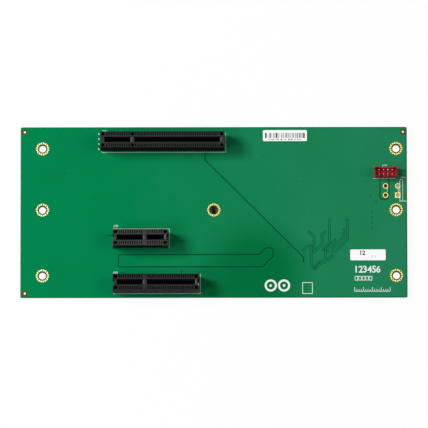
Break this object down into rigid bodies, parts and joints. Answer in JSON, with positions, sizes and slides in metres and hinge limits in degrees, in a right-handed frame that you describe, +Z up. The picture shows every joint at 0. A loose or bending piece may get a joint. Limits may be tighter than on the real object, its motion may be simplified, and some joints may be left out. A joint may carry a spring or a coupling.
{
  "type": "riser card",
  "caption": "Passive riser card: a flat green circuit board with keyed card-edge slots in a row of lengths, a small red box header and plated mounting holes.",
  "frame": {"origin": "centre of the rectangle of four corner mounting holes, on the underside of the board", "axes": "+X along the card towards the end with the red header, +Y across it towards the longest slot, +Z up out of the component side"},
  "size_m": [0.175, 0.078, 0.0146],
  "materials": {
    "green_board": "green solder mask over woven glass laminate, semi-gloss",
    "gold_plating": "thin gold over copper, bright",
    "long_slot_plastic": "black glass-filled polyester, fine matt",
    "medium_slot_plastic": "dark grey glass-filled polyester, fine matt",
    "short_slot_plastic": "dark grey glass-filled polyester, fine matt",
    "contact_bronze": "sprung bronze with a thin gold flash",
    "solder": "bright cooled solder",
    "red_plastic": "red moulded polyester, satin",
    "tinned_pin": "tin-plated square wire",
    "label_paper": "white coated label paper"
  },
  "bodies": {
    "root": {"circuit_board": "green_board", "mounting_pads": "gold_plating", "long_slot_housing": "long_slot_plastic", "long_slot_contacts_upper": "contact_bronze", "long_slot_contacts_lower": "contact_bronze", "long_slot_solder_joints": "solder", "medium_slot_housing": "medium_slot_plastic", "medium_slot_contacts_upper": "contact_bronze", "medium_slot_contacts_lower": "contact_bronze", "medium_slot_solder_joints": "solder", "short_slot_housing": "short_slot_plastic", "short_slot_contacts_upper": "contact_bronze", "short_slot_contacts_lower": "contact_bronze", "short_slot_solder_joints": "solder", "header_housing": "red_plastic", "header_pin_1": "tinned_pin", "header_pin_2": "tinned_pin", "header_pin_3": "tinned_pin", "header_pin_4": "tinned_pin", "header_pin_5": "tinned_pin", "header_pin_6": "tinned_pin", "header_pin_7": "tinned_pin", "header_pin_8": "tinned_pin", "header_solder_joints": "solder", "power_pad_1": "gold_plating", "power_pad_2": "gold_plating", "power_pad_3": "gold_plating", "power_pad_4": "gold_plating", "barcode_label": "label_paper", "blank_label": "label_paper"}
  },
  "joints": []
}
